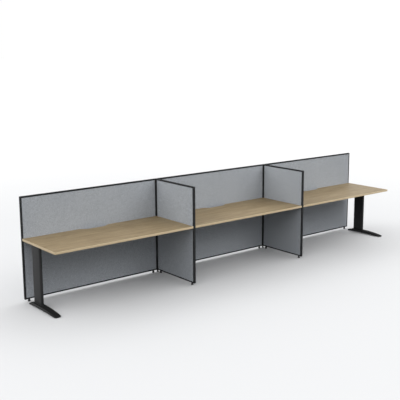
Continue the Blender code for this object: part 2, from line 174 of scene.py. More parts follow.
# Studio: the sky as (elevation in degrees, brightness), a key lamp and the floor
SKY = [
    (-90, 0.05), (-3, 0.05),
    (-1.5, 1.10), (4.2, 1.10),  # the white backdrop round the horizon
    (5.5, 0.66), (12, 0.70), (20, 0.92),
    (30, 1.86), (46, 1.86),  # the brightest part, half-way up
    (58, 0.75), (90, 0.45),
]
SKY_IN_FRONT = 0.80
SKY_AT_ENDS = 1.46
KEY_ELEVATION = 35
KEY_AZIMUTH = -26
KEY_DISTANCE = 14.0
KEY_SIZE = 7.0
KEY_POWER = 300.0
FLOOR_REACH = 200.0
FLOOR_COLOUR = (0.776, 0.783, 0.794)
BACKDROP_COLOUR = (0.91, 0.91, 0.91)
FLOOR_FADE_START = 4.5
FLOOR_FADE_END = 12.0

WHITE = (1.0, 1.0, 1.0)


# ------------------------------------------------------------------------------- materials


class Finish:
    """A short way to write a node tree round one Principled shader."""

    def __init__(self, name, **constants):
        self.material = bpy.data.materials.new(name)
        self.material.use_nodes = True
        self.tree = self.material.node_tree
        self.shader = self.tree.nodes["Principled BSDF"]
        for socket, value in constants.items():
            self.shader.inputs[socket.replace("_", " ")].default_value = value

    def add(self, kind, **settings):
        """A new node with these settings."""
        node = self.tree.nodes.new(kind)
        for key, value in settings.items():
            setattr(node, key, value)
        return node

    def plug(self, value, socket):
        """Put a number, or another node's output, into an input."""
        if isinstance(value, bpy.types.NodeSocket):
            self.tree.links.new(value, socket)
        else:
            socket.default_value = value

    def place(self, scale=(1, 1, 1), offset=(0, 0, 0)):
        """The piece's own coordinates, scaled and shifted."""
        coordinates = self.add("ShaderNodeTexCoord")
        mapping = self.add("ShaderNodeMapping")
        mapping.inputs["Scale"].default_value = scale
        mapping.inputs["Location"].default_value = offset
        self.plug(coordinates.outputs["Object"], mapping.inputs["Vector"])
        return mapping.outputs["Vector"]

    def noise(self, vector, scale, detail=2.0, roughness=0.5, distortion=0.0):
        """A noise texture's value, from 0 to 1."""
        node = self.add("ShaderNodeTexNoise")
        node.inputs["Scale"].default_value = scale
        node.inputs["Detail"].default_value = detail
        node.inputs["Roughness"].default_value = roughness
        node.inputs["Distortion"].default_value = distortion
        self.plug(vector, node.inputs["Vector"])
        return node.outputs["Fac"]

    def ramp(self, value, stops):
        """A colour for each value; stops are (position, colour)."""
        node = self.add("ShaderNodeValToRGB")
        elements = node.color_ramp.elements
        while len(elements) < len(stops):
            elements.new(0.5)
        for element, (position, colour) in zip(elements, stops):
            element.position = position
            element.color = (*colour, 1.0)
        self.plug(value, node.inputs["Fac"])
        return node.outputs["Color"]

    def mix(self, factor, a, b, blend="MIX"):
        """Mix two colours; a Mix node keeps its colour sockets at 6 and 7."""
        node = self.add("ShaderNodeMix", data_type="RGBA", blend_type=blend)
        self.plug(factor, node.inputs[0])
        self.plug(a, node.inputs[6])
        self.plug(b, node.inputs[7])
        return node.outputs[2]

    def tint(self, factor, a, colour):
        """Turn a colour towards another, constant one."""
        return self.mix(factor, a, (*colour, 1.0))

    def times(self, *colours):
        """Multiply colours."""
        made = colours[0]
        for colour in colours[1:]:
            made = self.mix(1.0, made, colour, "MULTIPLY")
        return made

    def span(self, value, low, high, start=0.0, end=1.0):
        """Map start..end to low..high."""
        node = self.add("ShaderNodeMapRange")
        sockets = ("From Min", "From Max", "To Min", "To Max")
        for socket, number in zip(sockets, (start, end, low, high)):
            node.inputs[socket].default_value = number
        self.plug(value, node.inputs["Value"])
        return node.outputs["Result"]

    def mix_numbers(self, factor, a, b):
        """Mix two numbers; a Mix node keeps its number sockets at 2 and 3."""
        node = self.add("ShaderNodeMix", data_type="FLOAT")
        self.plug(factor, node.inputs[0])
        self.plug(a, node.inputs[2])
        self.plug(b, node.inputs[3])
        return node.outputs[0]

    def scaled(self, value, factor):
        return self.math("MULTIPLY", value, factor)

    def math(self, operation, a, b=0.0):
        node = self.add("ShaderNodeMath", operation=operation)
        self.plug(a, node.inputs[0])
        self.plug(b, node.inputs[1])
        return node.outputs[0]

    def join(self, x, y, z):
        """A vector from three numbers."""
        node = self.add("ShaderNodeCombineXYZ")
        for value, socket in zip((x, y, z), node.inputs):
            self.plug(value, socket)
        return node.outputs[0]

    def edges(self, radius):
        """0 on flat surfaces, rising to 1 where a bevel would turn the normal: along sharp edges."""
        rounded = self.add("ShaderNodeBevel", samples=4)
        rounded.inputs["Radius"].default_value = radius
        true = self.add("ShaderNodeNewGeometry")
        likeness = self.add("ShaderNodeVectorMath", operation="DOT_PRODUCT")
        self.plug(rounded.outputs["Normal"], likeness.inputs[0])
        self.plug(true.outputs["Normal"], likeness.inputs[1])
        return self.span(likeness.outputs["Value"], 1.0, 0.0, start=0.80, end=0.985)

    def bump(self, height, strength, distance, below=None):
        """A normal from a height; below is the coarser bump that it stands on."""
        node = self.add("ShaderNodeBump")
        node.inputs["Strength"].default_value = strength
        node.inputs["Distance"].default_value = distance
        self.plug(height, node.inputs["Height"])
        if below is not None:
            self.plug(below, node.inputs["Normal"])
        return node.outputs["Normal"]

    def feed(self, **outputs):
        """Set the shader's sockets; an underscore stands for a space in a socket's name."""
        for socket, value in outputs.items():
            self.plug(value, self.shader.inputs[socket.replace("_", " ")])


def cloth_finish():
    """Plain-woven panel cloth: every thread is its own heathered grey."""
    m = Finish("panel_cloth", Sheen_Weight=0.2, Sheen_Roughness=0.45, Specular_IOR_Level=0.15)
    thread = 0.0019
    spot = m.add("ShaderNodeSeparateXYZ")
    m.plug(m.place(), spot.inputs[0])
    # A screen lies along X or along Y, so the sum runs along either
    along = m.scaled(m.math("ADD", spot.outputs["X"], spot.outputs["Y"]), 1 / thread)
    up = m.scaled(spot.outputs["Z"], 1 / thread)
    warp_row = m.math("FLOOR", along)
    weft_row = m.math("FLOOR", up)
    parity = m.math("MODULO", m.math("ABSOLUTE", m.math("ADD", warp_row, weft_row)), 2.0)
    warp_round = m.math("SINE", m.scaled(m.math("FRACT", along), math.pi))
    weft_round = m.math("SINE", m.scaled(m.math("FRACT", up), math.pi))
    warp_height = m.math("MULTIPLY", warp_round, m.span(parity, 0.25, 1.0))
    weft_height = m.math("MULTIPLY", weft_round, m.span(parity, 1.0, 0.25))
    weave = m.math("MAXIMUM", warp_height, weft_height)
    weft_on_top = m.math("GREATER_THAN", weft_height, warp_height)
    # A thread keeps its own row of the noise, and its grey changes slowly along it
    warp_place = m.join(m.scaled(warp_row, 7.31), m.scaled(up, 0.22), 0.0)
    weft_place = m.join(m.scaled(along, 0.22), m.scaled(weft_row, 5.17), 9.0)
    warp_fleck = m.noise(warp_place, 1.0, 2.0, 0.7)
    weft_fleck = m.noise(weft_place, 1.0, 2.0, 0.7)
    fleck = m.mix_numbers(weft_on_top, warp_fleck, weft_fleck)
    greys = [(0.255, 0.277, 0.303), (0.437, 0.467, 0.503), (0.619, 0.652, 0.693)]
    yarn = m.ramp(fleck, list(zip((0.30, 0.50, 0.70), greys)))
    # painted shade: darker where the weave sinks, between and beside the threads
    weave_shade = m.ramp(weave, [(0.15, (0.62, 0.62, 0.63)), (0.75, WHITE)])
    felted = m.noise(m.place(), 52.0, 3.0, 0.7)
    mottle = m.ramp(felted, [(0.3, (0.86, 0.86, 0.865)), (0.7, (1.13, 1.13, 1.125))])
    faded = m.noise(m.place(), 2.2, 2.0, 0.5)
    drift = m.ramp(faded, [(0.3, (0.975, 0.975, 0.98)), (0.7, (1.02, 1.02, 1.015))])
    m.feed(Base_Color=m.times(yarn, weave_shade, mottle, drift), Roughness=m.span(fleck, 0.86, 0.98))
    fuzz = m.noise(m.place(), 1900.0, 2.0, 0.6)
    m.feed(Normal=m.bump(weave, 0.5, 0.0004, m.bump(fuzz, 0.25, 0.0003)))
    return m.material


def oak_finish(name, offset):
    """Oak-pattern melamine: cathedral figure, long streaks and short pores, all along X."""
    m = Finish(name, Specular_IOR_Level=0.19)
    spot = m.add("ShaderNodeSeparateXYZ")
    m.plug(m.place(offset=offset), spot.inputs[0])
    wander = m.noise(m.place((0.7, 3.0, 3.0), offset), 1.6, 2.0, 0.5)
    across = m.math("ADD", spot.outputs["Y"], m.scaled(wander, 0.35))
    ring_place = m.join(m.scaled(spot.outputs["X"], 0.12), across, spot.outputs["Z"])
    rings = m.noise(ring_place, 34.0, 3.0, 0.6)
    figure = m.noise(m.place((0.5, 6.0, 6.0), offset), 3.0, 4.0, 0.6, 0.6)
    streak = m.noise(m.place((0.8, 70.0, 70.0), offset), 2.0, 4.0, 0.65, 0.2)
    pores = m.noise(m.place((14.0, 700.0, 700.0), offset), 1.3, 2.0, 0.5)
    browns = [(0.262, 0.196, 0.108), (0.314, 0.240, 0.139), (0.356, 0.276, 0.165)]
    base = m.ramp(figure, list(zip((0.32, 0.52, 0.72), browns)))
    bands = m.ramp(rings, [(0.34, (0.86, 0.84, 0.80)), (0.50, WHITE), (0.66, (1.07, 1.065, 1.05))])
    lines = m.ramp(streak, [(0.34, (0.80, 0.78, 0.74)), (0.54, WHITE)])
    dots = m.ramp(pores, [(0.30, (0.74, 0.70, 0.64)), (0.40, WHITE)])
    m.feed(Base_Color=m.times(base, bands, lines, dots), Roughness=m.span(streak, 0.40, 0.56))
    m.feed(Normal=m.bump(pores, 0.25, 0.00015, m.bump(streak, 0.08, 0.0003)))
    return m.material


def band_finish():
    """Plastic edge banding printed with a paler, finer grain, with a painted highlight along its
    arrises.
    """
    m = Finish("edge_band_plastic", Specular_IOR_Level=0.45)
    streak = m.noise(m.place((1.2, 1.2, 190.0)), 2.0, 3.0, 0.6)
    fleck = m.noise(m.place((40.0, 40.0, 900.0)), 1.0, 2.0, 0.6)
    grain = m.ramp(streak, [(0.3, (0.570, 0.450, 0.280)), (0.6, (0.660, 0.530, 0.340))])
    dots = m.ramp(fleck, [(0.30, (0.86, 0.84, 0.80)), (0.44, WHITE)])
    # painted highlight: a paler tint along every arris
    painted_edge_highlight = m.scaled(m.edges(0.0012), 0.35)
    m.feed(Base_Color=m.tint(painted_edge_highlight, m.times(grain, dots), (0.74, 0.62, 0.44)))
    m.feed(Roughness=m.span(streak, 0.34, 0.5), Normal=m.bump(fleck, 0.12, 0.0001))
    return m.material


def coat_finish(name, colour, roughness, edge_wear_and_highlight, specular):
    """Powder coat: fine orange peel, faint clouding, scuffs, and edges paler in patches: partly
    rubbed wear, partly a painted highlight.
    """
    m = Finish(name, Specular_IOR_Level=specular)
    cloud = m.noise(m.place(), 7.0, 5.0, 0.6)
    peel = m.noise(m.place(), 1100.0, 1.0)
    scuff = m.noise(m.place((1, 1, 0.25)), 160.0, 6.0, 0.75, 0.4)
    edge_patches = m.noise(m.place(), 45.0, 4.0, 0.7)
    body = m.ramp(cloud, [(0.3, [c * 0.88 for c in colour]), (0.7, [c * 1.12 for c in colour])])
    grain = m.ramp(peel, [(0.35, (0.92, 0.92, 0.92)), (0.65, (1.08, 1.08, 1.08))])
    # partly wear, partly painted highlight: sharp edges turn paler in noise patches
    edge = m.math("MULTIPLY", m.edges(0.0011), m.span(edge_patches, 0.0, edge_wear_and_highlight, start=0.42, end=0.62))
    m.feed(Base_Color=m.tint(edge, m.times(body, grain), [c * 3.2 + 0.01 for c in colour]))
    clouded = m.span(cloud, roughness - 0.05, roughness + 0.06)
    rough = m.math("ADD", clouded, m.span(scuff, -0.05, 0.05))
    m.feed(Roughness=rough, Normal=m.bump(peel, 0.22, 0.00018, m.bump(scuff, 0.04, 0.0002)))
    return m.material


def nylon_finish():
    """Moulded black nylon with a spark-eroded grain."""
    m = Finish("moulded_nylon", Specular_IOR_Level=0.4)
    grain = m.noise(m.place(), 1500.0, 2.0)
    dust = m.noise(m.place(), 60.0, 4.0, 0.7)
    m.feed(Base_Color=m.ramp(dust, [(0.35, (0.010, 0.010, 0.011)), (0.7, (0.021, 0.021, 0.022))]))
    m.feed(Roughness=m.span(dust, 0.45, 0.68), Normal=m.bump(grain, 0.3, 0.00015))
    return m.material


def zinc_finish():
    """Black zinc plating on the screws and stems."""
    m = Finish("black_zinc_plate", Metallic=1.0)
    bloom = m.noise(m.place(), 900.0, 4.0, 0.7)
    m.feed(Base_Color=m.ramp(bloom, [(0.3, (0.035, 0.036, 0.039)), (0.7, (0.075, 0.076, 0.080))]))
    m.feed(Roughness=m.span(bloom, 0.30, 0.55), Normal=m.bump(bloom, 0.1, 0.0001))
    return m.material


def fibre_finish():
    """The boards' raw edge: compressed fibre."""
    m = Finish("fibre_board", Specular_IOR_Level=0.1)
    fibre = m.noise(m.place((1, 1, 3)), 420.0, 4.0, 0.75)
    m.feed(Base_Color=m.ramp(fibre, [(0.3, (0.20, 0.16, 0.11)), (0.7, (0.34, 0.28, 0.20))]))
    m.feed(Roughness=m.span(fibre, 0.8, 0.95), Normal=m.bump(fibre, 0.4, 0.0004))
    return m.material


CLOTH = cloth_finish()
FRAME_COAT = coat_finish("charcoal_powder_coat", (0.0265, 0.0278, 0.0292), 0.82, 0.15, 0.12)
STEEL_COAT = coat_finish("black_powder_coat", (0.0145, 0.0148, 0.0153), 0.58, 0.20, 0.34)
# painted shade: a darker, duller coat that makes the feet's tops read darker than their sides
FOOT_TOP_SHADE_COAT = coat_finish("foot_top_painted_shade_coat", (0.0085, 0.0087, 0.0090), 0.80, 0.20, 0.15)
NYLON = nylon_finish()
ZINC = zinc_finish()
FIBRE = fibre_finish()
EDGE_BAND = band_finish()
OAK = {
    bay: oak_finish(f"oak_melamine_{bay}", (3.7 * number, 1.3 * number, 0.4 * number))
    for number, bay in enumerate(BAYS)
}
SLOT_FINISH = {
    "charcoal_frame": FRAME_COAT,
    "grey_fabric": CLOTH,
    "oak_laminate": OAK["left"],
    "black_steel": STEEL_COAT,
    "black_plastic": NYLON,
}


# --------------------------------------------------------------------------- mesh helpers


def add_piece(name, bm, finish, body="root", crease=35):
    """A piece from a mesh already in place, smooth where faces meet below the crease angle."""
    bmesh.ops.recalc_face_normals(bm, faces=bm.faces)
    mesh = bpy.data.meshes.new(name)
    bm.to_mesh(mesh)
    bm.free()
    mesh.shade_smooth()
    mesh.set_sharp_from_angle(angle=math.radians(crease))
    mesh.materials.append(finish)
    piece = bpy.data.objects.new(name, mesh)
    bpy.context.collection.objects.link(piece)
    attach(piece, body)
    return piece


def bridge(bm, rings, closed_rings=True):
    """Faces between neighbouring rings of vertices."""
    for lower, upper in zip(rings, rings[1:]):
        count = len(lower)
        for i in range(count if closed_rings else count - 1):
            j = (i + 1) % count
            bm.faces.new((lower[i], lower[j], upper[j], upper[i]))


def turned(bm, profile, segments, base):
    """A closed solid turned about the upright through base; profile is (radius, height)."""
    angles = [2 * math.pi * i / segments for i in range(segments)]
    rings = []
    for radius, height in profile:
        ring = [Vector((radius * math.cos(a), radius * math.sin(a), height)) for a in angles]
        rings.append([bm.verts.new(base + point) for point in ring])
    bridge(bm, rings)
    bm.faces.new(rings[0])
    bm.faces.new(rings[-1])


def arc(centre, radius, start, end, steps):
    """Points of an arc in a plane, angles in degrees."""
    angles = [math.radians(start + (end - start) * i / steps) for i in range(steps + 1)]
    return [(centre[0] + radius * math.cos(a), centre[1] + radius * math.sin(a)) for a in angles]


def box_with_soft_edges(bm, low, high, edge, steps=2):
    """A block whose edges are rounded."""
    size = Vector(high) - Vector(low)
    middle = (Vector(high) + Vector(low)) / 2
    place = Matrix.Translation(middle) @ Matrix.Diagonal((*size, 1.0))
    made = bmesh.ops.create_cube(bm, size=1.0, matrix=place)
    edges = {line for vert in made["verts"] for line in vert.link_edges}
    bmesh.ops.bevel(bm, geom=list(edges), offset=edge, segments=steps, profile=0.5, affect="EDGES")


def node_slot(node):
    """The material slot that the record gives a node."""
    subparts = frame["record"]["subparts"]
    return next(entry["material_slot"] for entry in subparts if entry["node"] == node)


def polish(node, edge=EDGE_BREAK, crease=40):
    """The CAD node again, with its sharp edges broken and its round faces smooth."""
    slot = node_slot(node)
    bm = bmesh.new()
    bm.from_mesh(frame["nodes"][node].data)
    bmesh.ops.remove_doubles(bm, verts=bm.verts, dist=SAME_POINT)
    bmesh.ops.dissolve_limit(bm, angle_limit=FLAT_ANGLE, verts=bm.verts, edges=bm.edges)
    if edge:
        sharp = [e for e in bm.edges if e.is_manifold and e.calc_face_angle() > SHARP_ANGLE]
        bmesh.ops.bevel(
            bm, geom=sharp, offset=edge, segments=2, profile=0.5, affect="EDGES",
            clamp_overlap=True,
        )
    piece = add_piece(f"{node}_finished", bm, SLOT_FINISH[slot], crease=crease)
    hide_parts(node)
    return piece


# --------------------------------------------------------------------------- screen cloth


def cloth_stations(length):
    """Places along one side of a cloth's face, close together beside the frame's lips."""
    near = [CLOTH_CORNER, FRAME_LIP * 0.6] + [FRAME_LIP + past for past in CLOTH_NEAR_LIP]
    middle = length - 2 * near[-1]
    count = round(middle / CLOTH_CELL)
    inner = [near[-1] + middle * i / count for i in range(1, count)]
    return near + inner + [length - d for d in reversed(near)]


def cloth_rise(along, up, width, height, seed):
    """How far the cloth's face stands off the board at a place on it."""
    side = min(along, width - along)
    end = min(up, height - up)
    ease = math.prod(1 - math.exp(-max(d - FRAME_LIP, 0.0) / CLOTH_EASE) for d in (side, end))
    slack = CLOTH_SLACK * unevenness(along, up, SLACK_PER_METRE, seed)
    ripple = CLOTH_RIPPLE * unevenness(along, up, RIPPLE_PER_METRE, seed + 5)
    creases = math.sin(CORNER_CREASES * math.atan2(end, side))
    pull = CORNER_PULL * math.exp(-math.hypot(side, end) / CORNER_REACH) * creases
    return ease * (CLOTH_CROWN + slack + ripple + pull)


def unevenness(along, up, per_metre, seed):
    """Smooth noise over a cloth's face, about 0."""
    return noise.noise(Vector((along * per_metre, up * per_metre, seed)))


def make_cloth(screen, side_name, facing, seed):
    """One face's cloth, stretched over the board and turned in round its edges."""
    low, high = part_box(f"{screen}_fabric_board")
    along = ACROSS_ROW if abs(facing.x) > 0.5 else ALONG_ROW
    # The face's lower corner, on the board's middle plane
    start = Vector(low)
    start -= facing * start.dot(facing)
    start += facing * ((low + high) / 2).dot(facing)
    width = (high - low).dot(along)
    height = high.z - low.z
    half = abs((high - low).dot(facing)) / 2

    def spot(a, z, depth):
        return start + along * a + UP * z + facing * depth

    bm = bmesh.new()
    columns = cloth_stations(width)
    face = []
    for z in cloth_stations(height):
        depths = [half + cloth_rise(a, z, width, height, seed) for a in columns]
        face.append([bm.verts.new(spot(a, z, depth)) for a, depth in zip(columns, depths)])
    bridge(bm, face, closed_rings=False)

    # The margin goes round the board's edge, ring by ring
    up_the_end = [row[-1] for row in face[1:-1]]
    down_the_start = [row[0] for row in face[-2:0:-1]]
    rim = face[0] + up_the_end + face[-1][::-1] + down_the_start
    flat = [Vector((v.co.dot(along) - start.dot(along), v.co.z - start.z)) for v in rim]
    r = CLOTH_CORNER
    margin = half - CLOTH_END
    steps = [(r * math.sin(turn), r * (1 - math.cos(turn))) for turn in CLOTH_CORNER_TURNS]
    steps += [(r, margin * share + r * (1 - share)) for share in (0.5, 1.0)]
    rings = [rim]
    for out, back in steps:
        ring = []
        for place in flat:
            a = pushed_out(place.x, width, out)
            z = pushed_out(place.y, height, out)
            ring.append(bm.verts.new(spot(a, z, half - back)))
        rings.append(ring)
    bridge(bm, rings)
    bmesh.ops.recalc_face_normals(bm, faces=bm.faces)
    if sum(f.normal.dot(facing) for f in bm.faces) < 0:
        bmesh.ops.reverse_faces(bm, faces=bm.faces)
    line_with_back(bm, CLOTH_THICKNESS)

    piece = add_piece(f"{screen}_cloth_{side_name}", bm, CLOTH, crease=80)
    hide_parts(f"{screen}_fabric_board")


def pushed_out(place, length, distance):
    """A place along a side of the cloth's face, moved outwards if it is on the face's rim."""
    on_rim = min(place, length - place) < CLOTH_CORNER * 1.01
    return place + math.copysign(distance, place - length / 2) if on_rim else place


def line_with_back(bm, thickness):
    """Close an open surface with a copy of itself behind it, joined round the rim."""
    bm.normal_update()
    outer = list(bm.verts)
    inner = {v: bm.verts.new(v.co - v.normal * thickness) for v in outer}
    for face in list(bm.faces):
        bm.faces.new([inner[v] for v in reversed(face.verts)])
    for edge in [e for e in bm.edges if len(e.link_faces) == 1]:
        a, b = edge.verts
        if a in inner and b in inner:
            bm.faces.new((b, a, inner[a], inner[b]))


def make_core(screen):
    """The board inside the cloth: the CAD board and its bores, less the cloth's thickness."""
    node = f"{screen}_fabric_board"
    low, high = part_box(node)
    bm = bmesh.new()
    bm.from_mesh(frame["nodes"][node].data)
    inset = CLOTH_THICKNESS + CLOTH_BACKING
    for vert in bm.verts:
        for axis in range(3):
            if vert.co[axis] - low[axis] < SAME_PLANE:
                vert.co[axis] += inset
            elif high[axis] - vert.co[axis] < SAME_PLANE:
                vert.co[axis] -= inset
    piece = add_piece(f"{screen}_board_core", bm, FIBRE)
    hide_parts(node)


def make_screen_covers():
    """Each board's core, and the cloth on both of its faces."""
    for number, screen in enumerate(BACK_SCREENS + DIVIDERS):
        make_core(screen)
        if screen in BACK_SCREENS:
            faces = {"front": -ACROSS_ROW, "back": ACROSS_ROW}
        else:
            faces = {"left": -ALONG_ROW, "right": ALONG_ROW}
        for side_name, facing in faces.items():
            seed = 10.0 * number + len(side_name)  # a patch of noise of its own
            make_cloth(screen, side_name, facing, seed)


# ------------------------------------------------------------------------------- worktops


def worktop_outline(low, high):
    """The worktop in plan, anticlockwise, with rounded corners and the cable scallop."""
    r = PLAN_RADIUS
    middle = (low.x + high.x) / 2
    points = arc((low.x + r, low.y + r), r, 180, 270, ARC_STEPS)
    points += arc((high.x - r, low.y + r), r, 270, 360, ARC_STEPS)
    points += arc((high.x - r, high.y - r), r, 0, 90, ARC_STEPS)
    ramp = []
    for i in range(SCALLOP_STEPS + 1):
        share = i / SCALLOP_STEPS
        fall = SCALLOP_DEPTH * (1 - math.cos(math.pi * share)) / 2
        ramp.append((SCALLOP_FLAT / 2 + SCALLOP_RAMP * (1 - share), fall))
    points += [(middle + x, high.y - fall) for x, fall in ramp]
    points += [(middle - x, high.y - fall) for x, fall in reversed(ramp)]
    points += arc((low.x + r, high.y - r), r, 90, 180, ARC_STEPS)
    return [Vector(point) for point in points]


def drawn_in(outline, distance):
    """An anticlockwise outline moved inwards by a distance."""
    sharpest = 0.3  # limits how far a very sharp corner may move
    moved = []
    for before, here, after in zip(outline[-1:] + outline[:-1], outline, outline[1:] + outline[:1]):
        a = (here - before).normalized()
        b = (after - here).normalized()
        inward = (Vector((-a.y, a.x)) + Vector((-b.y, b.x))).normalized()
        moved.append(here + inward * distance / max(inward.dot(Vector((-a.y, a.x))), sharpest))
    return moved


def make_worktop(bay):
    """A melamine board and the plastic band round its edge."""
    node = f"worktop_{bay}"
    low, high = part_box(node)
    outline = worktop_outline(low, high)

    bm = bmesh.new()
    inner = drawn_in(outline, BAND + BAND_SEAM)
    rings = [[bm.verts.new((*point, z)) for point in inner] for z in (low.z, high.z)]
    bridge(bm, rings)
    for ring in rings:
        bm.faces.new(ring)
    board = add_piece(f"{node}_board", bm, OAK[bay])

    # Section of the band as (distance in from the outline, height), inside top to inside bottom
    r = BAND_ARRIS
    top = arc((r, high.z - r), r, 90, 180, ARC_STEPS)
    bottom = arc((r, low.z + r), r, 180, 270, ARC_STEPS)
    section = [(BAND, high.z)] + top + bottom + [(BAND, low.z)]
    bm = bmesh.new()
    loops = []
    for inset, z in section:
        loops.append([bm.verts.new((*point, z)) for point in drawn_in(outline, inset)])
    bridge(bm, loops + loops[:1])
    band = add_piece(f"{node}_edge_band", bm, EDGE_BAND, crease=50)
    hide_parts(node)
    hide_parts(node)


# -------------------------------------------------------------------------------- frames


def make_frames():
    """Rails, posts and steelwork keep their CAD shape, with broken edges; feet have their tops
    painted darker and duller, as painted shade.
    """
    for screen in BACK_SCREENS + DIVIDERS:
        for member in ("top_rail", "bottom_rail", "start_post", "end_post"):
            polish(f"{screen}_{member}")
    for side in SIDES:
        polish(f"end_leg_column_{side}", crease=60)
        foot = polish(f"end_leg_foot_{side}", edge=0.0, crease=50)
        foot.data.materials.append(FOOT_TOP_SHADE_COAT)
        # painted shade: the upward-facing faces of each foot take the darker coat
        for face in foot.data.polygons:
            face.material_index = int(face.normal.z > FOOT_TOP_RISE)
        polish(f"end_leg_plate_{side}")
    for bay in BAYS:
        polish(f"worktop_beam_{bay}")
    for bracket in ("left", "middle_left", "middle_right", "right"):
        polish(f"worktop_bracket_{bracket}")


def make_junction_posts():
    """Each post stops short of its CAD top and carries a moulded cap."""
    for side in SIDES:
        node = f"junction_post_{side}"
        low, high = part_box(node)
        shoulder = high.z - CAP_HEIGHT
        bm = bmesh.new()
        bm.from_mesh(frame["nodes"][node].data)
        for vert in bm.verts:
            if high.z - vert.co.z < SAME_PLANE:
                vert.co.z = shoulder - CAP_SEAM
        post = add_piece(f"{node}_finished", bm, FRAME_COAT)
        bm = bmesh.new()
        box_with_soft_edges(bm, (low.x, low.y, shoulder), high, CAP_EDGE, steps=3)
        cap = add_piece(f"{node}_cap", bm, NYLON)
        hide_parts(node)
        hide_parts(node)


def screen_axes(screen):
    """The way from a screen's start to its end, and the way through it."""
    if screen in BACK_SCREENS:
        return ALONG_ROW, ACROSS_ROW
    return -ACROSS_ROW, -ALONG_ROW


def make_post_plugs():
    """A moulded plug with a thin rim closes the lower end of each post."""
    for screen in BACK_SCREENS + DIVIDERS:
        along, through = screen_axes(screen)
        for end, inward in (("start", along), ("end", -along)):
            low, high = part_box(f"{screen}_{end}_post")
            middle = (low + high) / 2
            bm = bmesh.new()
            rim_low = (low.x, low.y, low.z - PLUG_RIM)
            rim_high = (high.x, high.y, low.z)
            box_with_soft_edges(bm, rim_low, rim_high, PLUG_EDGE)
            shift = inward * (FRAME_WALL / 2)
            groove = along * FRAME_LIP + through * 2 * (SCREEN_HALF - FRAME_WALL)
            half = Vector([abs(value) - PLUG_PLAY for value in groove / 2])
            body_low = middle + shift - half
            body_high = middle + shift + half
            body_low.z = low.z - PLUG_EDGE
            body_high.z = low.z + PLUG_DEPTH
            box_with_soft_edges(bm, body_low, body_high, PLUG_EDGE)
            add_piece(f"{screen}_{end}_plug", bm, NYLON)


def make_rail_plugs():
    """A plug fills the open end of each top rail that no other screen covers."""
    free_ends = {
        "back_screen_left": "start",
        "back_screen_right": "end",
        "divider_left": "end",
        "divider_right": "end",
    }
    for screen, end in free_ends.items():
        along, through = screen_axes(screen)
        outward = along if end == "end" else -along
        low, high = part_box(f"{screen}_top_rail")
        middle = (low + high) / 2
        face = middle + outward * abs((high - low).dot(along)) / 2
        across = through * (SCREEN_HALF - FRAME_WALL - PLUG_PLAY)
        corners = [face - across, face + across - outward * RAIL_PLUG_DEPTH]
        plug_low = Vector([min(pair) for pair in zip(*corners)])
        plug_high = Vector([max(pair) for pair in zip(*corners)])
        plug_low.z = low.z + PLUG_PLAY
        plug_high.z = high.z - FRAME_WALL - PLUG_PLAY
        bm = bmesh.new()
        box_with_soft_edges(bm, plug_low, plug_high, PLUG_EDGE)
        add_piece(f"{screen}_top_rail_plug", bm, NYLON)


# ------------------------------------------------------------------------ glides and fixings


def threaded(bm, radius, low, high, centre, pitch):
    """A rod with one helical ridge."""
    count = round((high - low) / pitch) * 4
    rings = []
    for i in range(count + 1):
        height = low + (high - low) * i / count
        ring = []
        for j in range(THREAD_SIDES):
            turn = j / THREAD_SIDES
            depth = THREAD_DEPTH * abs(2 * ((height / pitch - turn) % 1.0) - 1)
            angle = 2 * math.pi * turn
            reach = Vector((math.cos(angle), math.sin(angle), 0.0)) * (radius - depth)
            ring.append(bm.verts.new(centre + reach + UP * height))
        rings.append(ring)
    bridge(bm, rings)
    bm.faces.new(rings[0])
    bm.faces.new(rings[-1])


def make_glide(node, foot, stem_radius, stem_low, stem_high, hex_radius=0.0, pitch=0.0015):
    """A moulded foot on a plated, threaded stem; heights are above the foot's underside."""
    low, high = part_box(node)
    base = Vector(((low.x + high.x) / 2, (low.y + high.y) / 2, low.z))
    bm = bmesh.new()
    turned(bm, foot, FOOT_SIDES, base)
    moulded = add_piece(f"{node}_foot", bm, NYLON, node)
    bm = bmesh.new()
    if hex_radius:
        flats = [(hex_radius - HEX_CHAMFER, 0.0), (hex_radius, HEX_CHAMFER)]
        flats += [(hex_radius, HEX_HEIGHT - HEX_CHAMFER), (hex_radius - HEX_CHAMFER, HEX_HEIGHT)]
        turned(bm, [(radius, stem_low + height) for radius, height in flats], 6, base)
        stem_low += HEX_HEIGHT
    threaded(bm, stem_radius, stem_low, stem_high, base, pitch)
    stem = add_piece(f"{node}_stem", bm, ZINC, node, crease=50)
    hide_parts(node)
    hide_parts(node)


def make_glides():
    """Cones under the screens, discs under the junction posts and pads under the arched feet."""
    for screen in BACK_SCREENS + DIVIDERS:
        for end in ("start", "end"):
            make_glide(
                f"{screen}_{end}_glide", CONE_FOOT, stem_radius=0.0050, stem_low=0.0240,
                stem_high=0.0848, hex_radius=0.0100,
            )
    for side in SIDES:
        make_glide(
            f"junction_foot_{side}", DISC_FOOT, stem_radius=0.0110, stem_low=0.0079,
            stem_high=0.1096,
        )
        for end in ("front", "rear"):
            make_glide(
                f"end_leg_{side}_{end}_glide", PAD_FOOT, stem_radius=0.0040, stem_low=0.0047,
                stem_high=0.0213, pitch=0.00125,
            )


def socket_reach(angle):
    """From the middle of a screw's hexagon socket to its side, in one direction."""
    sixth = math.pi / 3
    return SCREW_RADIUS * SOCKET_FLATS / math.cos((angle + sixth / 2) % sixth - sixth / 2)


